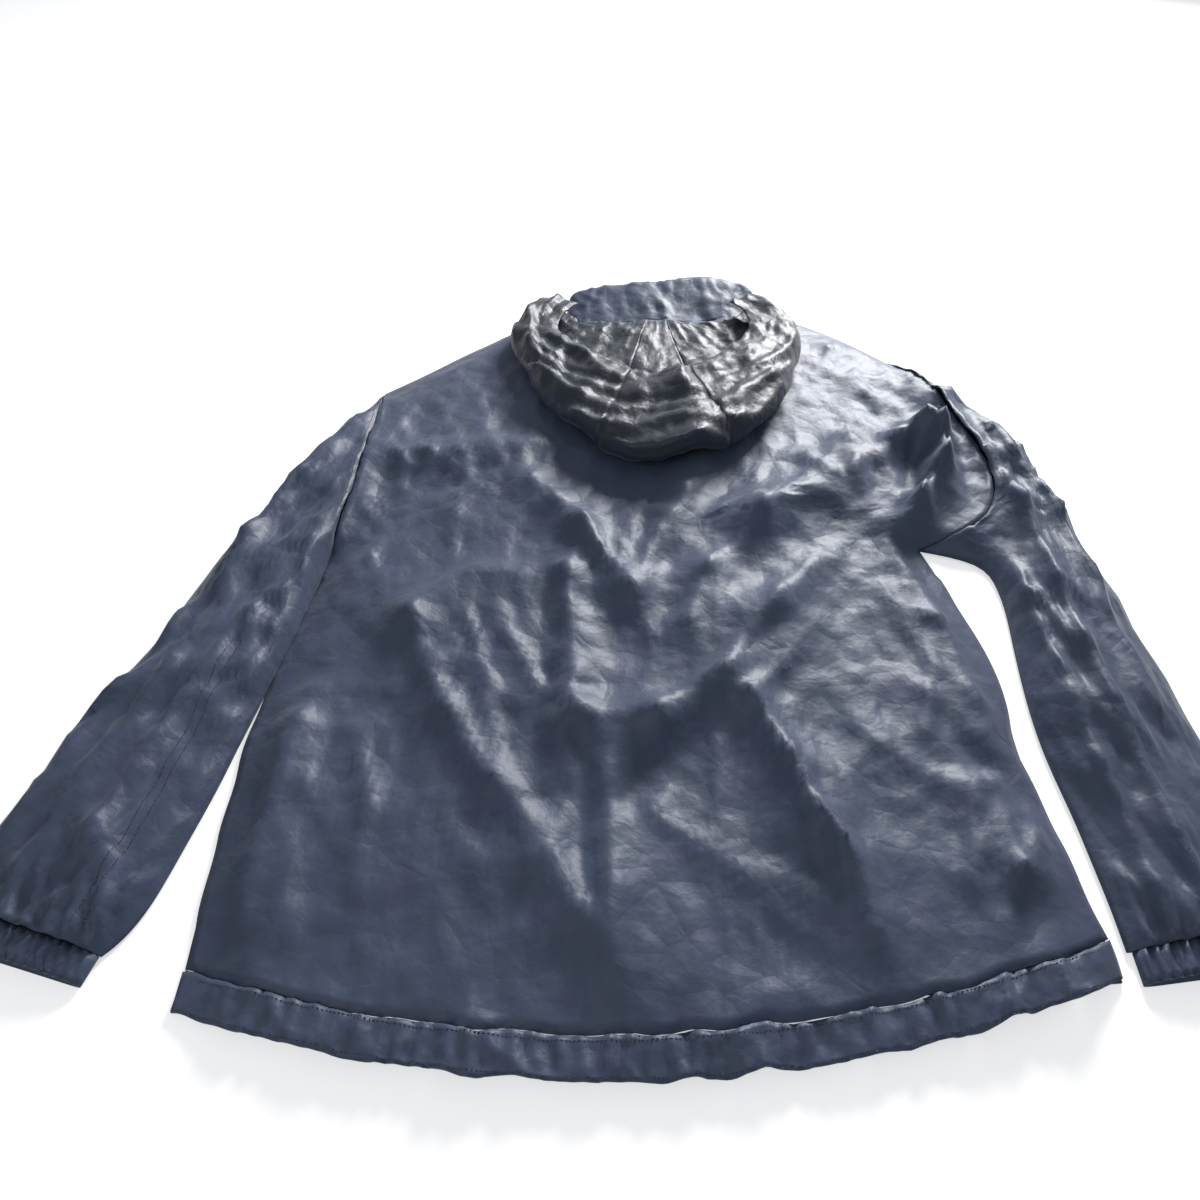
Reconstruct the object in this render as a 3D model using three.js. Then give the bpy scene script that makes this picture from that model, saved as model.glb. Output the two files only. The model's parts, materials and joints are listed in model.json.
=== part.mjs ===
// A hooded rain jacket of thin coated nylon, lying flat with its back upwards.
// Millimetres, +Z up. +Y runs from the hem to the hood, +X to the right as seen from above.
// Every cut piece is a thin closed wall; sewn pieces stop 0.3 mm short of each other.
import * as THREE from 'three';

// ---- driving dimensions -------------------------------------------------------------------
const CLOTH = 1.5;              // wall of one layer, seam allowances and air included
const HEM_CLOTH = 2.2;          // turned-up hem channel
const GAP = 0.3;                // between sewn pieces
const SEAM = 1.3;               // each sewn edge steps back this far, for its tilt
const HEM_SEAM = 0.25;          // the same at the hem, where the edges lie level
const LEFT_SEAM = 0.15;         // the left armhole is nearly straight, so its sleeve comes closer
const CENTRE_X = 35;            // line of the front zip and of the back's middle
const HEM_LEFT = -293;          // hem corners
const HEM_RIGHT = 364;
const HEM_END_Y = [-9, 11];     // height of the hem's lower edge at its left and right corner
const HEM_DROP = 57;            // the back hem drops below its corners
const HEM_BAND = 28;            // height of the hem channel
const FRONT_HEM_DROP = 6;
const BACK_ROWS = 26;           // rows of points from the hem to the shoulders
const SLEEVE_ROWS = 12;         // those of them that lie along an armhole
const UNDERARM = 1 - SLEEVE_ROWS / BACK_ROWS;
const BACK_LIFT = 12;           // middle of the back's wall above the surface
const ZIP_WIDTH = 12;
const ZIP_TOP = 890;
const NECK_SCOOP = 30;          // the front neck is cut this much lower than the back neck

const FLOOR_MID = CLOTH / 2;                      // middle of a layer that lies on the surface
const SEAM_MID = FLOOR_MID + CLOTH + GAP;         // middle of the layer just above it

// ---- plan outlines, [x, y] ----------------------------------------------------------------
const LEFT_SIDE = [[HEM_LEFT, HEM_END_Y[0] + HEM_BAND], [-297, 110], [-297, 215], [-290, 290], [-270, 430]];
const RIGHT_SIDE = [[HEM_RIGHT, HEM_END_Y[1] + HEM_BAND], [358, 110], [349, 200], [356, 270], [346, 335], [322, 438]];
const LEFT_ARMHOLE = [[-270, 430], [-261, 482], [-256, 560], [-254, 635], [-259, 705]];
const RIGHT_ARMHOLE = [[322, 438], [368, 449], [405, 484], [411, 546], [397, 627], [380, 720], [354, 775]];
const SHOULDERS = [[-259, 705], [-214, 745], [-160, 797], [-105, 836], [-45, 848],
  [35, 846], [120, 850], [190, 862], [245, 866], [305, 826], [354, 775]];

// ---- the folds of the back: a soft ridge (or, with a negative rise, a trough) along a line ----
const FOLD = ['x0', 'y0', 'x1', 'y1', 'width', 'rise'];
const BACK_FOLDS = [
  [-216, 566, -70, 592, 26, 7],
  [-75, 534, -10, 450, 20, 10],
  [-10, 450, 28, 362, 22, 9],
  [204, 690, 104, 560, 24, 8],
  [104, 560, 34, 366, 20, 9],
  [300, 570, 161, 470, 30, 17],
  [161, 470, 76, 330, 26, 14],
  [212, 412, 150, 335, 24, 9],
  [150, 335, 47, 224, 26, 12],
  [47, 224, -25, 222, 22, 8],
  [130, 239, 166, 132, 22, 12],
  [166, 132, 196, 36, 20, 9],
  [-175, 345, -40, 392, 26, 9],
  [-33, 398, -22, 222, 22, 7],
  [-12, 186, 8, 20, 26, 9],
  [-173, 336, -113, 206, 22, 8],
  [-113, 206, -15, 61, 20, 7],
  [-254, 222, -256, 53, 16, 8],
  [300, 235, 355, 145, 18, 7],
  [310, 85, 345, 131, 16, 9],
  [340, 590, 352, 520, 20, 16],
  [352, 520, 312, 462, 17, 12],
];

// ---- sleeves: a row for each section from the armhole to the cuff seam ---------------------
// out and in are the plan points of the outer and inner fold, high is the tube's thickness.
// bow is how far the section's middle swings sideways round the armhole.
const SECTION = ['outX', 'outY', 'inX', 'inY', 'high', 'bow'];
const LEFT_SECTIONS = [
  [-297, 626, -279, 388, 25],
  [-330, 557, -288, 330, 24],
  [-352, 506, -295, 275, 23],
  [-374, 448, -300, 232, 22],
  [-394, 386, -305, 192, 22],
  [-413, 322, -312, 152, 22],
  [-432, 254, -321, 112, 21],
  [-452, 188, -328, 78, 21],
  [-468, 138, -336, 54, 20],
  [-481, 96, -345, 38, 19],
  [-486, 66, -354, 29, 17],
];
const RIGHT_SECTIONS = [
  [402, 706, 384, 420, 25, 45],
  [436, 652, 388, 384, 24, 38],
  [461, 604, 387, 352, 23, 28],
  [475, 545, 382, 318, 22, 18],
  [487, 462, 376, 270, 22, 9],
  [496, 392, 372, 225, 22],
  [502, 318, 372, 182, 22],
  [506, 230, 376, 140, 21],
  [509, 150, 377, 98, 20],
  [509, 88, 378, 60, 19],
  [505, 46, 377, 30, 17],
];
const CUFF = { pleats: 18, depth: 1.1, high: 15 };
const LEFT_CUFF = { out: [-481, 64.6], in: [-355.5, 29.4], along: [-6, -22] };
const RIGHT_CUFF = { out: [500, 45.4], in: [381, 30.5], along: [-1, -24] };

// ---- hood: folded down on the back as a shallow bowl --------------------------------------
// One row for each direction, in degrees from straight down: how far its edge reaches from the
// bowl's middle, how high it stands there, and how wide its turned-in rim is.
const HOOD = { x: 68, y: 800, neckX: 72, neckHalf: 92, neckY: 838, spread: 122, centre: 17, clear: 5.5 };
const HOOD_ROW = ['turn', 'reach', 'high', 'rim'];
const HOOD_EDGE = [
  [-122, 158, 20, 34], [-90, 182, 24, 46], [-60, 178, 28, 58], [-30, 212, 32, 92], [-8, 258, 34, 122],
  [10, 256, 34, 118], [30, 225, 32, 96], [60, 184, 28, 62], [90, 182, 25, 50], [122, 162, 20, 34],
];

// ---- collar: a soft upright band, lying flat beyond the neck -------------------------------
const COLLAR = { left: -28, right: 208, frontHigh: 893, backHigh: 922, peak: 14, high: 30 };

// ---- small helpers -------------------------------------------------------------------------
const lerp = THREE.MathUtils.lerp;
const smooth = (x, low, high) => THREE.MathUtils.smoothstep(x, low, high);
const named = (columns) => (row) => Object.fromEntries(columns.map((name, i) => [name, row[i] ?? 0]));

/** The plan point a share t along a smooth line through points. */
function pathOf(points) {
  const curve = new THREE.CatmullRomCurve3(points.map(([x, y]) => new THREE.Vector3(x, y, 0)), false, 'centripetal');
  curve.arcLengthDivisions = 400;
  return (t) => curve.getPointAt(THREE.MathUtils.clamp(t, 0, 1));
}

/** The row that lies at t between the rows of a table, by the column that is named key. */
function between(rows, key, t) {
  const last = rows.length - 1;
  const next = THREE.MathUtils.clamp(rows.findIndex((row) => row[key] >= t), 1, last);
  const [a, b] = t > rows[last][key] ? [rows[last - 1], rows[last]] : [rows[next - 1], rows[next]];
  const share = THREE.MathUtils.clamp((t - a[key]) / (b[key] - a[key]), 0, 1);
  return Object.fromEntries(Object.keys(a).map((name) => [name, lerp(a[name], b[name], share)]));
}

/** A closed wall of even thickness about the surface mid(u, v); closed wraps it round in u. */
function wall({ across, along, mid, thickness = CLOTH, closed = false }) {
  const columns = closed ? across : across + 1;
  const grid = [];
  for (let j = 0; j <= along; j++) {
    for (let i = 0; i < columns; i++) grid.push(mid(i / across, j / along));
  }
  const at = (i, j) => (closed ? (i + columns) % columns : THREE.MathUtils.clamp(i, 0, across)) + columns * j;
  const outer = [];
  const inner = [];
  for (let j = 0; j <= along; j++) {
    for (let i = 0; i < columns; i++) {
      const du = grid[at(i + 1, j)].clone().sub(grid[at(i - 1, j)]);
      const dv = grid[at(i, Math.min(j + 1, along))].clone().sub(grid[at(i, Math.max(j - 1, 0))]);
      const normal = du.cross(dv).normalize().multiplyScalar(thickness / 2);
      outer.push(grid[at(i, j)].clone().add(normal));
      inner.push(grid[at(i, j)].clone().sub(normal));
    }
  }
  const count = grid.length;
  const faces = [];
  for (let j = 0; j < along; j++) {
    for (let i = 0; i < across; i++) {
      const [a, b, c, d] = [at(i, j), at(i + 1, j), at(i + 1, j + 1), at(i, j + 1)];
      faces.push([a, b, c], [a, c, d]);
      faces.push([count + c, count + b, count + a], [count + d, count + c, count + a]);
    }
  }
  const rim = (p, q) => faces.push([count + p, count + q, q], [count + p, q, p]);
  for (let i = 0; i < across; i++) {
    rim(at(i, 0), at(i + 1, 0));
    rim(at(i + 1, along), at(i, along));
  }
  for (let j = 0; j < along && !closed; j++) {
    rim(at(across, j), at(across, j + 1));
    rim(at(0, j + 1), at(0, j));
  }
  const points = [...outer, ...inner];
  const volume = faces.reduce((sum, [a, b, c]) => sum + points[a].dot(points[b].clone().cross(points[c])), 0);
  const geometry = new THREE.BufferGeometry();
  geometry.setAttribute('position', new THREE.Float32BufferAttribute(points.flatMap((p) => p.toArray()), 3));
  geometry.setIndex(faces.flatMap(([a, b, c]) => (volume > 0 ? [a, b, c] : [a, c, b])));
  geometry.computeVertexNormals();
  return geometry;
}

/** A plan point inside the patch that four edge lines bound. */
function patch(left, right, low, high, u, v) {
  const point = low(u).clone().multiplyScalar(1 - v).addScaledVector(high(u), v);
  point.addScaledVector(left(v), 1 - u).addScaledVector(right(v), u);
  point.addScaledVector(low(0), -(1 - u) * (1 - v)).addScaledVector(low(1), -u * (1 - v));
  return point.addScaledVector(high(0), -(1 - u) * v).addScaledVector(high(1), -u * v);
}

const inset = (line, dx, dy = 0) => (t) => line(t).clone().add(new THREE.Vector3(dx, dy, 0));

// ---- shared edges ----------------------------------------------------------------------------
const leftSide = pathOf(LEFT_SIDE);
const rightSide = pathOf(RIGHT_SIDE);
const leftArmhole = pathOf(LEFT_ARMHOLE);
const rightArmhole = pathOf(RIGHT_ARMHOLE);
const shoulders = pathOf(SHOULDERS);
const sideThenArmhole = (side, armhole) => (v) => (v < UNDERARM ? side(v / UNDERARM)
  : armhole((v - UNDERARM) / (1 - UNDERARM)));
const leftEdge = sideThenArmhole(leftSide, leftArmhole);
const rightEdge = sideThenArmhole(rightSide, rightArmhole);

function hemLow(drop) {
  return (u) => new THREE.Vector3(
    lerp(HEM_LEFT, HEM_RIGHT, u),
    lerp(HEM_END_Y[0], HEM_END_Y[1], u) - drop * Math.sin(Math.PI * u) ** 0.85,
    0,
  );
}
const backHemLow = hemLow(HEM_DROP);
const backHemTop = inset(backHemLow, 0, HEM_BAND);
const frontHemLow = hemLow(FRONT_HEM_DROP);
const frontHemTop = inset(frontHemLow, 0, HEM_BAND);

/** Height of the back layer's middle away from its edges. */
function backHeight(x, y) {
  let height = BACK_LIFT;
  for (const fold of BACK_FOLDS.map(named(FOLD))) {
    const [dx, dy] = [fold.x1 - fold.x0, fold.y1 - fold.y0];
    const length = Math.hypot(dx, dy);
    const along = ((x - fold.x0) * dx + (y - fold.y0) * dy) / length;
    const aside = ((x - fold.x0) * dy - (y - fold.y0) * dx) / length;
    const past = Math.max(0, -along, along - length);
    height += fold.rise * Math.exp(-((aside ** 2 + past ** 2) / fold.width ** 2));
  }
  return height;
}

/** Height of a tube's upper layer, w from its inner fold to its outer one. */
const tubeTop = (w, high) => SEAM_MID + (high - SEAM_MID - FLOOR_MID) * Math.sin(Math.PI * w) ** 0.42;

/** Height of the back hem: nearly closed at its corners, standing open to the right of the middle. */
const hemHeight = (u) => SEAM_MID + (BACK_LIFT - SEAM_MID) * smooth(Math.min(u, 1 - u), 0, 0.1)
  + 7 * Math.exp(-(((u - 0.93) / 0.05) ** 2)) * smooth(1 - u, 0, 0.04);

const ARMHOLE_HIGH = 26;

/** Height of the back layer at u, v of its patch, drawn down to what it is sewn to at each edge. */
function backAt(u, v) {
  const point = patch(inset(leftEdge, SEAM, SEAM), inset(rightEdge, -SEAM, SEAM), inset(backHemTop, 0, HEM_SEAM),
    inset(shoulders, 0, -SEAM), u, v);
  const armhole = tubeTop(THREE.MathUtils.clamp((v - UNDERARM) / (1 - UNDERARM), 0, 1), ARMHOLE_HIGH);
  const side = v < UNDERARM ? SEAM_MID + (hemHeight(u < 0.5 ? 0 : 1) - SEAM_MID) * (1 - v) : armhole;
  const neck = 1 - smooth(Math.abs(u - 0.53), 0.2, 0.3);
  const top = lerp(SEAM_MID, BACK_LIFT, neck);
  const nearSide = 1 - smooth(Math.min(u, 1 - u), 0, 0.07);
  const nearTop = 1 - smooth(1 - v, 0, 0.07);
  const nearHem = 1 - smooth(v, 0, 0.09);
  let z = backHeight(point.x, point.y);
  z = lerp(z, hemHeight(u), nearHem);
  z = lerp(z, side, nearSide);
  z = lerp(z, Math.min(top, lerp(top, side, nearSide)), nearTop);
  point.z = z;
  return point;
}

// ---- the pieces ------------------------------------------------------------------------------
const jacket = new THREE.Group();
jacket.name = 'rain_jacket';
const materials = {
  shell: new THREE.MeshStandardMaterial({ color: '#4f5d73', roughness: 0.45, metalness: 0 }),
  inside: new THREE.MeshStandardMaterial({ color: '#3c424c', roughness: 0.35, metalness: 0 }),
  zip: new THREE.MeshStandardMaterial({ color: '#262c38', roughness: 0.6, metalness: 0 }),
};

function add(name, geometry, material = materials.shell) {
  const mesh = new THREE.Mesh(geometry, material);
  mesh.name = name;
  jacket.add(mesh);
}

function back() {
  add('back', wall({ across: 26, along: BACK_ROWS, mid: backAt }));
  add('back_hem', wall({
    across: 26,
    along: 1,
    thickness: HEM_CLOTH,
    mid: (u, v) => {
      const point = backHemLow(u).lerp(inset(backHemTop, 0, -HEM_SEAM)(u), v);
      point.x += u < 0.5 ? SEAM : -SEAM;
      point.z = hemHeight(u) + (HEM_CLOTH - CLOTH) / 2 - 1.5 * (1 - v) * smooth(Math.min(u, 1 - u), 0, 0.1);
      return point;
    },
  }));
}

/** Height of the back neck line at x. */
function neckLine(x) {
  const steps = 600;
  const points = Array.from({ length: steps + 1 }, (_, i) => shoulders(i / steps));
  return points.reduce((a, b) => (Math.abs(a.x - x) < Math.abs(b.x - x) ? a : b)).y;
}

/** One front and its hem, side -1 for the left of the plan and 1 for the right. */
function front(side) {
  const name = side < 0 ? 'left' : 'right';
  const zipEdge = CENTRE_X + side * (ZIP_WIDTH / 2 + GAP);
  const middle = (CENTRE_X - HEM_LEFT) / (HEM_RIGHT - HEM_LEFT);
  const share = (u) => (side < 0 ? lerp(0, middle, u) : lerp(middle, 1, u));
  const neckDip = (x) => NECK_SCOOP * (1 - smooth(Math.abs(x - CENTRE_X - 55), 124, 170));
  const top = (u) => {
    const point = shoulders(lerp(0, 1, share(u)));
    point.y -= SEAM + neckDip(point.x);
    return point;
  };
  const hem = (line, dy) => (u) => {
    const point = inset(line, 0, dy)(share(u));
    if ((side < 0 ? 1 - u : u) < 1e-6) point.x = zipEdge;
    return point;
  };
  const low = hem(frontHemTop, HEM_SEAM);
  const endTop = (side < 0 ? top(1) : top(0)).clone().setX(zipEdge);
  const zipLine = (v) => new THREE.Vector3(zipEdge, lerp((side < 0 ? low(1) : low(0)).y, endTop.y, v), 0);
  const topLine = (u) => ((side < 0 ? 1 - u : u) < 1e-6 ? endTop.clone() : top(u));
  const outerEdge = side < 0 ? inset(leftEdge, SEAM, SEAM) : inset(rightEdge, -SEAM, SEAM);
  const [left, right] = side < 0 ? [outerEdge, zipLine] : [zipLine, outerEdge];
  add(`front_${name}`, wall({
    across: 9,
    along: BACK_ROWS,
    mid: (u, v) => {
      const point = patch(left, right, low, topLine, u, v);
      point.z = FLOOR_MID;
      return point;
    },
  }));
  add(`front_hem_${name}`, wall({
    across: 9,
    along: 1,
    mid: (u, v) => {
      const point = hem(frontHemLow, 0)(u).lerp(hem(frontHemTop, -HEM_SEAM)(u), v);
      point.z = FLOOR_MID;
      return point;
    },
  }));
}

/** A sleeve: an open flattened tube from the armhole to the cuff seam. */
function sleeve(name, armhole, rows, side) {
  const sections = rows.map(named(SECTION));
  const foot = armhole(0);
  const head = armhole(1);
  const first = { outX: head.x, outY: head.y, inX: foot.x, inY: foot.y, high: ARMHOLE_HIGH, bow: 0 };
  const all = [first, ...sections].map((row, i) => ({ ...row, step: i }));
  add(name, wall({
    across: 2 * SLEEVE_ROWS,
    along: all.length - 1,
    closed: true,
    mid: (u, v) => {
      const row = between(all, 'step', v * (all.length - 1));
      const upper = u <= 0.5;
      const w = upper ? 2 * u : 2 - 2 * u;
      const point = new THREE.Vector3(lerp(row.inX, row.outX, w), lerp(row.inY, row.outY, w), 0);
      point.x += side * row.bow * Math.sin(Math.PI * w);
      if (v < 1e-6) {
        point.copy(armhole(w));
        point.x += side > 0 ? SEAM : LEFT_SEAM;
        point.y -= side > 0 ? SEAM : 0;
      }
      point.z = upper ? tubeTop(w, row.high)
        : SEAM_MID - (SEAM_MID - FLOOR_MID) * Math.min(1, 4 * Math.sin(Math.PI * w)) ** 0.5;
      return point;
    },
  }));
}

/** An elastic cuff: a short ring gathered into small pleats. */
function cuff(name, { out, in: inner, along }) {
  const [a, b, down] = [inner, out, along].map(([x, y]) => new THREE.Vector3(x, y, 0));
  add(name, wall({
    across: CUFF.pleats * 2,
    along: 1,
    closed: true,
    mid: (u, v) => {
      const angle = 2 * Math.PI * u;
      const w = (1 - Math.cos(angle)) / 2;
      const point = a.clone().lerp(b, w).addScaledVector(down, 0.03 + 0.97 * v);
      const pleat = CUFF.depth * Math.cos(CUFF.pleats * angle) * Math.abs(Math.sin(angle)) ** 0.5;
      const upper = Math.sin(angle) >= 0;
      point.z = upper ? tubeTop(w, CUFF.high) + pleat
        : SEAM_MID - (SEAM_MID - FLOOR_MID) * Math.min(1, 4 * Math.sin(Math.PI * w)) ** 0.5;
      return point;
    },
  }));
}

/** One of the hood's three panels, between two directions in degrees from straight down. */
function hoodPanel(name, from, to, across) {
  const rows = HOOD_EDGE.map(named(HOOD_ROW));
  const lowerShare = 0.45;
  const turnShare = 0.2;
  add(name, wall({
    across,
    along: 15,
    mid: (u, v) => {
      const turn = lerp(from, to, u);
      const row = between(rows, 'turn', turn);
      const angle = THREE.MathUtils.degToRad(turn);
      const out = new THREE.Vector3(Math.sin(angle), -Math.cos(angle), 0);
      const aside = new THREE.Vector3(Math.cos(angle), Math.sin(angle), 0);
      const neck = new THREE.Vector3(HOOD.neckX + (HOOD.neckHalf * turn) / HOOD.spread, HOOD.neckY, 0);
      const bend = row.high / 2;
      const edge = new THREE.Vector3(HOOD.x, HOOD.y, 0).addScaledVector(out, row.reach - bend);
      const floor = (p) => backHeight(p.x, p.y) + HOOD.clear;
      const point = neck.clone();
      if (v <= lowerShare) {
        point.lerp(edge, v / lowerShare);
        point.z = floor(point);
      } else if (v <= lowerShare + turnShare) {
        const bendAngle = (Math.PI * (v - lowerShare)) / turnShare;
        point.copy(edge).addScaledVector(out, bend * Math.sin(bendAngle));
        point.z = floor(edge) + bend * (1 - Math.cos(bendAngle));
      } else {
        const share = (v - lowerShare - turnShare) / (1 - lowerShare - turnShare);
        point.copy(edge).addScaledVector(out, -row.rim * share);
        point.z = floor(edge) + row.high - 4 * share + 2.5 * Math.sin(3 * Math.PI * share);
      }
      return point.addScaledVector(aside, (GAP / 2 + 0.1) * (1 - 2 * u));
    },
  }), materials.inside);
}

/** The collar: one band from one side of the zip, round the neck, to the other side. */
function collar() {
  const gap = ZIP_WIDTH / 2 + GAP;
  const folds = { left: COLLAR.left, right: COLLAR.right };
  add('collar', wall({
    across: 36,
    along: 4,
    mid: (u, v) => {
      const onBack = u > 0.25 && u < 0.75;
      const w = onBack ? (u - 0.25) / 0.5 : 0;
      const arc = onBack ? (1 - Math.cos(Math.PI * w)) / 2 : 0;
      let x = lerp(folds.left, folds.right, arc);
      if (u <= 0.25) x = lerp(CENTRE_X - gap, folds.left, Math.sin((u / 0.25) * Math.PI / 2));
      if (u >= 0.75) x = lerp(CENTRE_X + gap, folds.right, Math.sin(((1 - u) / 0.25) * Math.PI / 2));
      const lift = onBack ? Math.sin(Math.PI * w) ** 0.42 : 0;
      const rise = Math.exp(-(((x - 150) / 55) ** 2));
      const low = neckLine(x) + SEAM + 2.5 - (onBack && lift > 0 ? 0 : NECK_SCOOP);
      const high = lerp(COLLAR.frontHigh, COLLAR.backHigh, lift) + COLLAR.peak * rise;
      const bottom = FLOOR_MID;
      const top = lerp(BACK_LIFT, COLLAR.high, v) + 4 * rise * v;
      const fold = onBack ? 0 : smooth(u <= 0.25 ? u / 0.25 : (1 - u) / 0.25, 0.75, 1);
      const seam = Math.max(SEAM_MID, bottom);
      const z = onBack ? lerp(seam, top, lift) : lerp(bottom, seam, fold);
      return new THREE.Vector3(x, lerp(low, high, v), z);
    },
  }));
}

/** The zip's closed teeth and tape, from the front hem to the collar's edge. */
function zip() {
  const low = frontHemLow((CENTRE_X - HEM_LEFT) / (HEM_RIGHT - HEM_LEFT)).y;
  add('zip', wall({
    across: 1,
    along: 30,
    mid: (u, v) => {
      const y = lerp(low, ZIP_TOP - GAP, v ** 0.6);
      return new THREE.Vector3(CENTRE_X + (u - 0.5) * ZIP_WIDTH, y, FLOOR_MID);
    },
  }), materials.zip);
}

back();
front(-1);
front(1);
sleeve('sleeve_left', leftArmhole, LEFT_SECTIONS, -1);
sleeve('sleeve_right', rightArmhole, RIGHT_SECTIONS, 1);
cuff('cuff_left', LEFT_CUFF);
cuff('cuff_right', RIGHT_CUFF);
hoodPanel('hood_left', -HOOD.spread, -HOOD.centre, 12);
hoodPanel('hood_centre', -HOOD.centre, HOOD.centre, 5);
hoodPanel('hood_right', HOOD.centre, HOOD.spread, 12);
collar();
zip();

// The origin is the middle of the whole jacket's box, on the surface it lies on.
const box = new THREE.Box3().setFromObject(jacket);
jacket.position.set(-(box.min.x + box.max.x) / 2, -(box.min.y + box.max.y) / 2, -box.min.z);
jacket.updateMatrixWorld(true);

export default jacket;
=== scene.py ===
"""A hooded rain jacket of thin coated nylon, lying flat with its back upwards. Metres, +Z up."""
import json
import math

import bmesh
import bpy
from mathutils import Matrix, Vector, noise

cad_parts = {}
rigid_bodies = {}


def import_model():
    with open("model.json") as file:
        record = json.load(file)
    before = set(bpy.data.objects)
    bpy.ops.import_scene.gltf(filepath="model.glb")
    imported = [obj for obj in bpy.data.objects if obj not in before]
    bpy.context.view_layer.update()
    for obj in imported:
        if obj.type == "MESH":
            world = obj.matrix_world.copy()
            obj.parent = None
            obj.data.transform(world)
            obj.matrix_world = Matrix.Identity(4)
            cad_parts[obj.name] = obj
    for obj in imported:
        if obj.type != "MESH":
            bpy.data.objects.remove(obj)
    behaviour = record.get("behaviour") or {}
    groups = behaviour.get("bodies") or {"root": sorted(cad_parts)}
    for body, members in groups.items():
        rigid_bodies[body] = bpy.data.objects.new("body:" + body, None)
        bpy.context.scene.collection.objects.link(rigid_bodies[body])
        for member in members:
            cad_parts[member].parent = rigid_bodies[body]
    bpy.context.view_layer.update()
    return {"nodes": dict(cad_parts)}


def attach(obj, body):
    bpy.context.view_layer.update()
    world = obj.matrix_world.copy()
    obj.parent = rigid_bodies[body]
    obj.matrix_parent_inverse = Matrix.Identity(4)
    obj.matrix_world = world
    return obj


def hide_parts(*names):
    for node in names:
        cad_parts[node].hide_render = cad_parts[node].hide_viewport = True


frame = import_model()

MM = 0.001
CUT_ANGLE = 55                  # degrees: a fold sharper than this is a cut edge
MERGE = 0.00002                 # m: corners closer than this are one corner
LYING = 4.5                     # mm: cloth below this height lies on the surface and stays smooth
LIFTED = 7                      # mm above that, from where the cloth is free to crease in full

# What elastic and stitching gathers: mm from one fold to the next, and mm up and down.
CUFF_PLEAT, CUFF_RISE = 7, 2.0
HEM_PUCKER, HEM_RISE = 15, 1.1
SLEEVE_PLEAT, SLEEVE_RISE = 17, 2.6
HOOD_FOLD, HOOD_RISE = 30, 2.6
HOOD_MIDDLE = (68, 800)         # the hood's folds run round this point

# Where the pattern's origin stands in this frame, in mm: the places below are counted from there.
PATTERN = Vector((-11, -439, 0))

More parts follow.
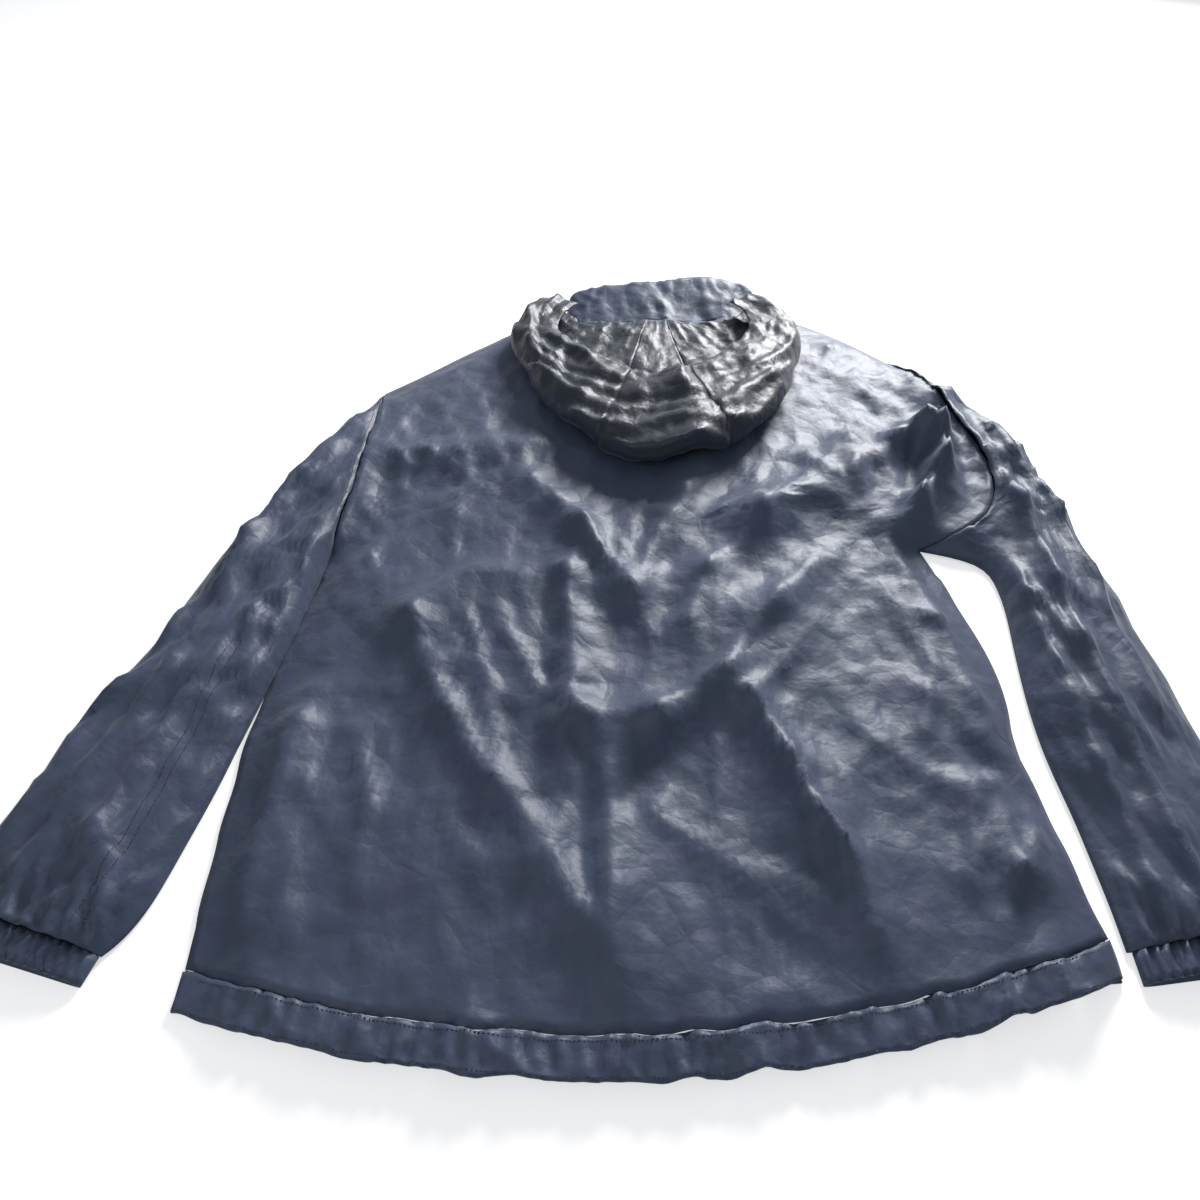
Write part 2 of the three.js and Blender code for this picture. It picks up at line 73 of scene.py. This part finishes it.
# Creases pressed or pulled into the cloth: ends in mm from the pattern's origin, half width and
# rise in mm (negative for a trough), and how sharp the crest is, from 0, round, to 1, a knife edge.
CREASES = [
    # pulled from the shoulders and armpits towards the middle of the back
    (-216, 566, -70, 592, 20, 5, 0.3), (-75, 534, -17, 456, 16, 9, 0.7), (-17, 456, 27, 361, 14, 8, 0.8),
    (106, 559, 60, 444, 18, 7, 0.6), (60, 444, 31, 367, 14, 7, 0.8), (269, 592, 161, 462, 20, 12, 0.8),
    (161, 462, 102, 392, 18, 12, 0.8), (102, 392, 76, 328, 16, 9, 0.8), (240, 560, 130, 430, 16, -8, 0.5),
    (130, 430, 70, 345, 14, -6, 0.5), (212, 412, 167, 356, 15, 7, 0.7), (167, 356, 105, 267, 16, 9, 0.8),
    (105, 267, 47, 222, 18, 9, 0.7), (47, 222, -20, 222, 18, 6, 0.5), (150, 320, 60, 250, 16, -7, 0.4),
    # the peak below the middle and what runs down from it
    (130, 239, 152, 183, 14, 10, 0.9), (152, 183, 166, 132, 13, 9, 0.9), (166, 132, 182, 101, 12, 8, 0.8),
    (182, 101, 196, 36, 12, 7, 0.7), (101, 217, 48, 175, 18, -8, 0.4), (48, 175, 0, 139, 16, -6, 0.4),
    (199, 330, 164, 283, 7, 4, 1), (164, 283, 126, 242, 7, 5, 1), (126, 242, 93, 199, 7, 4, 1),
    (93, 199, 42, 143, 7, 4, 1),
    # left half
    (-175, 340, -121, 392, 18, 6, 0.5), (-121, 392, -35, 392, 18, 7, 0.6), (-33, 398, -22, 222, 16, 7, 0.8),
    (-50, 390, -45, 240, 14, -5, 0.4), (-16, 188, -11, 71, 16, -8, 0.5), (4, 180, 10, 9, 14, 7, 0.7),
    (-173, 336, -134, 234, 12, 6, 0.8), (-134, 234, -85, 164, 12, 6, 0.8), (-85, 164, -15, 61, 12, 6, 0.8),
    (-250, 259, -172, 259, 7, 3, 1), (-244, 218, -194, 218, 7, 3, 1), (-149, 508, -146, 376, 8, 3, 0.9),
    (-244, 217, -233, 158, 8, 4, 0.9), (-205, 212, -183, 149, 8, 4, 0.9), (-183, 149, -180, 74, 8, 4, 0.9),
    (-254, 222, -258, 146, 12, 7, 0.6), (-257, 119, -259, 53, 12, 6, 0.6), (-233, 92, -218, 36, 10, 5, 0.6),
    # right half
    (44, 137, 77, 103, 8, 4, 0.9), (87, 101, 143, 45, 8, 4, 0.9), (294, 293, 273, 204, 8, 4, 0.9),
    (297, 159, 272, 83, 8, 4, 0.9), (293, 225, 314, 182, 12, -5, 0.4), (314, 182, 355, 145, 12, -5, 0.4),
    (310, 85, 308, 115, 10, 6, 0.8), (310, 85, 345, 131, 10, 7, 0.8), (310, 85, 339, 81, 10, 5, 0.8),
    (296, 406, 312, 344, 12, 5, 0.6), (312, 344, 333, 213, 12, 5, 0.6),
    # the curl of spare cloth at the right armpit
    (326, 587, 356, 606, 14, 17, 0.6), (356, 606, 371, 592, 13, 20, 0.6), (371, 592, 360, 537, 13, 23, 0.7),
    (360, 537, 325, 485, 12, 20, 0.7), (325, 485, 309, 460, 12, 14, 0.6), (340, 565, 330, 510, 14, -14, 0.4),
    # along the sleeves
    (-270, 640, -345, 430, 16, 6, 0.6), (-345, 430, -372, 270, 14, 6, 0.6), (-372, 270, -430, 90, 12, 5, 0.6),
    (-300, 560, -390, 330, 13, 5, 0.6), (-390, 330, -450, 120, 12, 5, 0.6), (-330, 330, -385, 100, 12, 6, 0.8),
    (395, 660, 430, 480, 14, 7, 0.7), (430, 480, 428, 300, 13, 7, 0.7), (428, 300, 440, 60, 12, 6, 0.7),
    (430, 620, 465, 470, 12, 6, 0.7), (465, 470, 470, 250, 12, 6, 0.7), (398, 400, 402, 180, 11, 6, 0.7),
    (402, 180, 412, 50, 10, 5, 0.7),
]


def linear(hex_colour):
    """An sRGB hex colour as the linear values that a shader takes."""
    channels = [int(hex_colour[i:i + 2], 16) / 255 for i in (1, 3, 5)]
    turned = [c / 12.92 if c <= 0.04045 else ((c + 0.055) / 1.055) ** 2.4 for c in channels]
    return (*turned, 1)


# ---- cloth ----------------------------------------------------------------------------------

def ripple(x, y, seed):
    """Smooth noise from -1 to 1 at a point counted in the noise's own size."""
    return noise.noise(Vector((x, y, seed)))


def share_of(value):
    """A value held between 0 and 1."""
    return max(0, min(1, value))


def crease_height(x, y):
    """Rise in mm of the placed creases at a point in mm."""
    wander, wander_length = 2.5, 30
    reach = 2.4                 # widths from its line at which a crease has run out
    rise = 0
    for x0, y0, x1, y1, width, height, sharp in CREASES:
        dx, dy = x1 - x0, y1 - y0
        length = math.hypot(dx, dy)
        px, py = x - x0, y - y0
        along = (px * dx + py * dy) / length
        past = max(0, -along, along - length)
        aside = (px * dy - py * dx) / length + wander * ripple(along / wander_length, x0, y0)
        distance = math.hypot(aside, past * 0.8) / width
        if distance < reach:
            round_crest, knife_edge = math.exp(-distance ** 2), math.exp(-1.6 * distance)
            rise += height * ((1 - sharp) * round_crest + sharp * knife_edge)
    return rise


def crumple(x, y, size, seed):
    """Sharp crests from 0 to 1 between soft hollows, about size mm apart, as crushed taffeta has."""
    warp = 0.35 * ripple(x / size / 2, y / size / 2, seed + 9)
    near = noise.voronoi(Vector((x / size + warp, y / size - warp, seed)))[0]
    return max(0, 1 - 2.2 * (near[1] - near[0]))


def ridges(x, y, size, seed):
    """Long thin crests from 0 to 1 along the zero line of a wavy pattern."""
    return max(0, 1 - abs(ripple(x / size, y / size, seed)) * 5)


def wrinkle(x, y):
    """Rise in mm of the whole cloth at a point in mm: each line adds finer creases than the last."""
    patchy = 0.5 + 0.9 * max(0, ripple(x / 120, y / 120, 21) + 0.3)
    rise = 1.15 * crease_height(x, y)
    rise += 5 * ripple(x / 110, y / 110, 3)
    rise += patchy * 4.6 * crumple(x * 0.9 + y * 0.4, y * 0.5 - x * 0.3, 60, 1) ** 1.5
    rise += patchy * 3.2 * ridges(x, y * 0.55, 46, 5) ** 1.5
    rise += patchy * 2.3 * crumple(x, y * 0.6, 27, 7) ** 1.5
    rise += 1.5 * crumple(x, y * 0.8, 15, 13) ** 1.5
    return rise + 0.7 * ridges(x * 0.9, y, 16, 11)


def wave(distance, length):
    """A wave of one length, from -1 to 1."""
    return math.sin(distance * 2 * math.pi / length)


def gathers(place, node_name):
    """Rise in mm of what elastic or stitching gathers in one piece."""
    x, y = place.x, place.y
    if node_name.startswith("cuff"):
        return CUFF_RISE * wave(x + 2.5 * ripple(x / 12, y / 9, 2), CUFF_PLEAT)
    if node_name == "back_hem":
        puckers = HEM_RISE * wave(x + 6 * ripple(x / 20, y / 30, 4), HEM_PUCKER)
        return puckers + 3 * ripple(x / 40, 0, 6)
    if node_name.startswith("sleeve"):
        near_cuff = max(0, 1 - max(0, y - 45) / 70)
        return SLEEVE_RISE * near_cuff * math.sin(x * 2 * math.pi / SLEEVE_PLEAT + y / 25)
    if node_name.startswith("hood"):
        around = math.hypot(x - HOOD_MIDDLE[0], y - HOOD_MIDDLE[1])
        outer = min(1, max(0.15, (around - 110) / 60))
        return HOOD_RISE * outer * wave(around + 34 * ripple(x / 80, y / 80, 8), HOOD_FOLD)
    return 0


def hold_cut_edges(bm):
    """Crease the edges where the cloth was cut, so that smoothing doesn't draw the piece in."""
    crease = bm.edges.layers.float.new("crease_edge")
    corner = bm.verts.layers.float.new("crease_vert")
    for edge in bm.edges:
        if len(edge.link_faces) == 2 and edge.calc_face_angle() > math.radians(CUT_ANGLE):
            edge[crease] = 1
    for vertex in bm.verts:
        held = [edge for edge in vertex.link_edges if edge[crease]]
        if len(held) > 2:
            vertex[corner] = 1


def drift(place, node_name):
    """How far in mm a point of a piece is drawn sideways: to its seam, and along an uneven edge."""
    x, y = place.x, place.y
    move = Vector((0, 0, 0))
    if node_name in ("back", "back_hem"):
        near_hem = max(0, 1 - max(0, y + 10) / 130)
        near_side = min(1, abs(x - 35) / 300) ** 4
        move.y += near_hem * (7 * ripple(x / 70, 1, 5) + 3 * ripple(x / 24, 2, 5))
        move.x += 5 * ripple(y / 60, 7, 3) * near_side * (y < 400)
    if node_name == "back_hem":
        move.y += 0.7
    if node_name in ("sleeve_right", "cuff_right"):
        outer_edge = share_of((x - 440) / 60)
        move.x += -2.4 + 4 * ripple(y / 50, 3, 3) * outer_edge
        move.y += 1.5
    if node_name in ("sleeve_left", "cuff_left"):
        beside_body = max(0, 1 - abs(y - 330) / 130)
        outer_edge = share_of((-320 - x) / 80)
        move.x += 0.6 + 6 * beside_body - 4 * ripple(y / 50, 5, 3) * outer_edge
    if node_name == "collar":
        move.y -= 3.2
        # its left end is drawn out under the hood's left side
        move.x -= 16 * share_of((x - HOOD_MIDDLE[0]) / -100)
    if node_name == "hood_left":
        move.x += 1.2
    if node_name == "hood_right":
        move.x -= 1.2
    return move


def sewn_skin(source, name, levels, lift):
    """A fine copy of the cut piece source, creased wherever it lies clear of the surface below."""
    mesh = frame["nodes"][source].data.copy()
    bm = bmesh.new()
    bm.from_mesh(mesh)
    bmesh.ops.remove_doubles(bm, verts=bm.verts, dist=MERGE)
    bmesh.ops.join_triangles(bm, faces=bm.faces, angle_face_threshold=1.0, angle_shape_threshold=1.5)
    hold_cut_edges(bm)
    bm.to_mesh(mesh)
    bm.free()
    piece = bpy.data.objects.new(name, mesh)
    bpy.context.scene.collection.objects.link(piece)
    finer = piece.modifiers.new("finer", "SUBSURF")
    finer.levels = finer.render_levels = levels
    bpy.context.view_layer.update()
    settled = piece.evaluated_get(bpy.context.evaluated_depsgraph_get())
    cloth = bpy.data.meshes.new_from_object(settled)
    piece.modifiers.clear()
    piece.data = cloth
    cloth.materials.clear()
    for vertex in cloth.vertices:
        place = vertex.co / MM - PATTERN
        vertex.co += drift(place, source) * MM
        free = share_of((place.z - LYING) / LIFTED)
        if free > 0:
            rise = lift * (wrinkle(place.x, place.y) - 2.5) + gathers(place, source)
            lowest = -0.45 * (place.z - 4)
            vertex.co.z += free * max(rise, lowest) * MM
    cloth.shade_smooth()
    return piece


# ---- materials ------------------------------------------------------------------------------

def node(tree, kind, links=None, **settings):
    """Add a shader node: settings name its properties, or its sockets by index or name in links."""
    new = tree.nodes.new(kind)
    for key, value in settings.items():
        setattr(new, key, value)
    for socket, value in (links or {}).items():
        if isinstance(value, bpy.types.NodeSocket):
            tree.links.new(value, new.inputs[socket])
        else:
            new.inputs[socket].default_value = value
    return new


def nylon(name, dark, light, hue, roughness, crinkle_mm, worn=0.0):
    """A coated plain weave: satin where the coating fills it, with creases too fine to model."""
    material = bpy.data.materials.new(name)
    material.use_nodes = True
    tree = material.node_tree
    shader = tree.nodes["Principled BSDF"]
    place = node(tree, "ShaderNodeTexCoord").outputs["Object"]
    patches = node(tree, "ShaderNodeTexNoise", {"Vector": place, "Scale": 1 / (90 * MM), "Detail": 3.0})
    tone = node(tree, "ShaderNodeMix", {0: patches.outputs["Fac"], 6: linear(dark), 7: linear(light)},
                data_type="RGBA")
    tints = node(tree, "ShaderNodeTexNoise", {"Vector": place, "Scale": 1 / (45 * MM), "Detail": 1.0})
    share = node(tree, "ShaderNodeMapRange", {0: tints.outputs["Fac"], 1: 0.5, 2: 0.75, 3: 0.0, 4: 0.45})
    tinted = node(tree, "ShaderNodeMix", {0: share.outputs[0], 6: tone.outputs[2], 7: linear(hue)},
                  data_type="RGBA")
    colour = tinted.outputs[2]
    if worn:
        specks = node(tree, "ShaderNodeTexNoise", {"Vector": place, "Scale": 1 / (7 * MM), "Detail": 6.0})
        flaked = node(tree, "ShaderNodeMapRange", {0: specks.outputs["Fac"], 1: 0.7, 2: 0.76, 4: worn})
        colour = node(tree, "ShaderNodeMix", {0: flaked.outputs[0], 6: colour, 7: linear("#9aa0a4")},
                      data_type="RGBA").outputs[2]
    tree.links.new(colour, shader.inputs["Base Color"])
    shader.inputs["Roughness"].default_value = roughness
    shader.inputs["Sheen Weight"].default_value = 0.15
    facets = node(tree, "ShaderNodeTexVoronoi", {"Vector": place, "Scale": 1 / (crinkle_mm * MM)},
                  feature="DISTANCE_TO_EDGE")
    wisps = node(tree, "ShaderNodeTexNoise", {"Vector": place, "Scale": 1 / (crinkle_mm * 0.6 * MM),
                                              "Detail": 5.0, "Distortion": 0.2})
    # threads are really 0.2 mm apart, drawn at 0.9 mm so that they show
    weave = node(tree, "ShaderNodeTexWave", {"Vector": place, "Scale": 1 / (6 * MM)}, bands_direction="X")
    crisp = node(tree, "ShaderNodeBump", {"Strength": 0.65, "Distance": 2.5 * MM,
                                          "Height": facets.outputs["Distance"]})
    soft = node(tree, "ShaderNodeBump", {"Strength": 0.45, "Distance": 3 * MM,
                                         "Height": wisps.outputs["Fac"], "Normal": crisp.outputs[0]})
    fine = node(tree, "ShaderNodeBump", {"Strength": 0.05, "Distance": 0.3 * MM,
                                         "Height": weave.outputs["Color"], "Normal": soft.outputs[0]})
    tree.links.new(fine.outputs[0], shader.inputs["Normal"])
    return material


# the outside: slate blue, satin, crushed into flat facets about 30 mm across
shell = nylon("coated_nylon_taffeta", "#35415a", "#4e5c75", "#45466a", 0.5, 30)
# the coated inside of the hood: darker, glossier, with pale specks where the coating has flaked
lining_side = nylon("worn_coating_inside", "#1a212d", "#2c3647", "#262a40", 0.46, 22, worn=0.5)
# woven polyester tape and thread: darker than the cloth and dull
tape = nylon("zip_tape_polyester", "#1e2430", "#2a3140", "#2a2a3c", 0.7, 9)
thread = nylon("polyester_thread", "#232b3a", "#2c3548", "#2c2c44", 0.6, 5)

# ---- the pieces: node, name, subdivision, crease lift, material, slot, cut size in m ----------
PIECES = [
    ("back", "back_cloth", 2, 1.0, shell, "nylon_shell", (0.70, 0.88), 0.55),
    ("back_hem", "back_hem_channel", 3, 1.0, shell, "nylon_shell", (0.68, 0.03), None),
    ("front_left", "front_cloth_left", 1, 0, shell, "nylon_shell", (0.33, 0.80), 0.24),
    ("front_right", "front_cloth_right", 1, 0, shell, "nylon_shell", (0.37, 0.80), 0.26),
    ("front_hem_left", "front_hem_channel_left", 1, 0, shell, "nylon_shell", (0.325, 0.028), None),
    ("front_hem_right", "front_hem_channel_right", 1, 0, shell, "nylon_shell", (0.325, 0.028), None),
    ("sleeve_left", "sleeve_cloth_left", 2, 1.6, shell, "nylon_shell", (0.42, 0.62), 0.15),
    ("sleeve_right", "sleeve_cloth_right", 2, 1.6, shell, "nylon_shell", (0.42, 0.62), 0.15),
    ("cuff_left", "cuff_gathers_left", 2, 0.2, shell, "nylon_shell", (0.28, 0.024), None),
    ("cuff_right", "cuff_gathers_right", 2, 0.2, shell, "nylon_shell", (0.26, 0.024), None),
    ("hood_left", "hood_side_left", 2, 1.0, lining_side, "coated_inside", (0.24, 0.30), 0.06),
    ("hood_centre", "hood_centre_strip", 2, 1.0, lining_side, "coated_inside", (0.12, 0.42), 0.045),
    ("hood_right", "hood_side_right", 2, 1.0, lining_side, "coated_inside", (0.24, 0.30), 0.06),
    ("collar", "collar_band", 2, 0.8, shell, "nylon_shell", (0.47, 0.075), None),
    ("zip", "zip_coil", 1, 0, tape, "zip", (0.012, 0.895), None),
]
for source, name, levels, lift, material, slot, flat, area in PIECES:
    piece = sewn_skin(source, name, levels, lift)
    piece.data.materials.append(material)
    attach(piece, "root")
    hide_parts(source)

# ---- seams ------------------------------------------------------------------------------------
STITCH = 3.0                    # mm from one stitch to the next
STITCH_SIZE = Vector((2.0, 0.55, 0.5))
ABOVE = 200                     # mm: higher than any of the cloth
SURFACES = [bpy.data.objects[row[1]] for row in PIECES]


def top_of_cloth(x, y):
    """Height in m of the uppermost cloth at a point in mm from the pattern's origin."""
    start = (Vector((x, y, ABOVE)) + PATTERN) * MM
    hits = [thing.ray_cast(start, Vector((0, 0, -1)))[:2] for thing in SURFACES]
    return max((place.z for hit, place in hits if hit), default=None)


def run_of_stitches(name, points):
    """A row of lockstitches on the cloth, through points in mm from the pattern's origin."""
    bm = bmesh.new()
    carried = 0
    for (x0, y0), (x1, y1) in zip(points, points[1:]):
        length = math.hypot(x1 - x0, y1 - y0)
        at = carried
        while at < length:
            share = at / length
            x, y = x0 + (x1 - x0) * share, y0 + (y1 - y0) * share
            height = top_of_cloth(x, y)
            if height:
                made = bmesh.ops.create_cube(bm, size=1)["verts"]
                bmesh.ops.scale(bm, vec=STITCH_SIZE * MM, verts=made)
                turn = Matrix.Rotation(math.atan2(y1 - y0, x1 - x0), 3, "Z")
                bmesh.ops.rotate(bm, cent=(0, 0, 0), matrix=turn, verts=made)
                spot = (Vector((x, y, 0)) + PATTERN) * MM
                bmesh.ops.translate(bm, vec=(spot.x, spot.y, height), verts=made)
            at += STITCH
        carried = at - length
    mesh = bpy.data.meshes.new(name)
    bm.to_mesh(mesh)
    bm.free()
    row = bpy.data.objects.new(name, mesh)
    bpy.context.scene.collection.objects.link(row)
    mesh.materials.append(thread)
    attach(row, "root")


def hem_line(up):
    """The hem's lower edge from corner to corner, moved up by so many mm."""
    left, width = -293, 657
    left_y, right_rise, middle_drop = -9, 20, 57
    steps = 40
    line = []
    for i in range(1, steps):
        u = i / steps
        drop = middle_drop * math.sin(math.pi * u) ** 0.85
        line.append((left + width * u, left_y + right_rise * u - drop + up))
    return line


run_of_stitches("hem_stitches", hem_line(25.5))
run_of_stitches("hem_edge_stitches", hem_line(3))
run_of_stitches("armhole_stitches_left", [(-263, 482), (-259, 560), (-257, 635), (-261, 700)])
run_of_stitches("armhole_stitches_right", [(414, 500), (417, 546), (403, 627), (386, 720), (362, 770)])
SLEEVE_SEAM = [(-318, 300), (-335, 210), (-352, 110), (-366, 45)]
for shift in (0, 7):
    run_of_stitches(f"sleeve_seam_stitches_{shift}", [(x - shift, y) for x, y in SLEEVE_SEAM])

# ---- surface, light and camera --------------------------------------------------------------
floor_mesh = bpy.data.meshes.new("table")
bm = bmesh.new()
bmesh.ops.create_grid(bm, x_segments=1, y_segments=1, size=6)
bm.to_mesh(floor_mesh)
bm.free()
floor = bpy.data.objects.new("table", floor_mesh)
floor.location.z = -0.0005
bpy.context.scene.collection.objects.link(floor)
paper = bpy.data.materials.new("matt_white_paper")
paper.use_nodes = True
paper_shader = paper.node_tree.nodes["Principled BSDF"]
paper_shader.inputs["Base Color"].default_value = linear("#f4f4f4")
paper_shader.inputs["Roughness"].default_value = 0.9
# what the camera sees of the paper glows white under its shadow, as a lit studio sweep does
ray = node(paper.node_tree, "ShaderNodeLightPath")
seen = node(paper.node_tree, "ShaderNodeMath", {0: ray.outputs["Is Camera Ray"], 1: 0.55},
            operation="MULTIPLY")
paper_shader.inputs["Emission Color"].default_value = (1, 1, 1, 1)
paper.node_tree.links.new(seen.outputs[0], paper_shader.inputs["Emission Strength"])
floor.data.materials.append(paper)

world = bpy.context.scene.world or bpy.data.worlds.new("studio")
bpy.context.scene.world = world
world.use_nodes = True
world.node_tree.nodes["Background"].inputs[0].default_value = linear("#f2f5fa")
world.node_tree.nodes["Background"].inputs[1].default_value = 0.28


def lamp(name, place, size, watts):
    """A soft panel lamp that faces the jacket's middle."""
    light = bpy.data.lights.new(name, "AREA")
    light.size = size
    light.energy = watts
    thing = bpy.data.objects.new(name, light)
    thing.location = place
    thing.rotation_euler = (Vector((0, 0, 0)) - Vector(place)).to_track_quat("-Z", "Y").to_euler()
    bpy.context.scene.collection.objects.link(thing)


lamp("window", (0.8, 1.7, 0.85), 0.7, 57)
lamp("fill", (-1.2, -1.6, 2.0), 1.6, 9)

CAMERA_DOWN = 47.5              # degrees below level
CAMERA_PLACE = Vector((0, -229, 658))

camera = bpy.data.cameras.new("camera")
camera.sensor_width = 36
camera.lens = 27.84
camera_object = bpy.data.objects.new("camera", camera)
camera_object.location = (CAMERA_PLACE + PATTERN) * MM
camera_object.rotation_euler = (math.radians(90 - CAMERA_DOWN), 0, 0)
bpy.context.scene.collection.objects.link(camera_object)
bpy.context.scene.camera = camera_object
bpy.context.scene.view_settings.view_transform = "Standard"
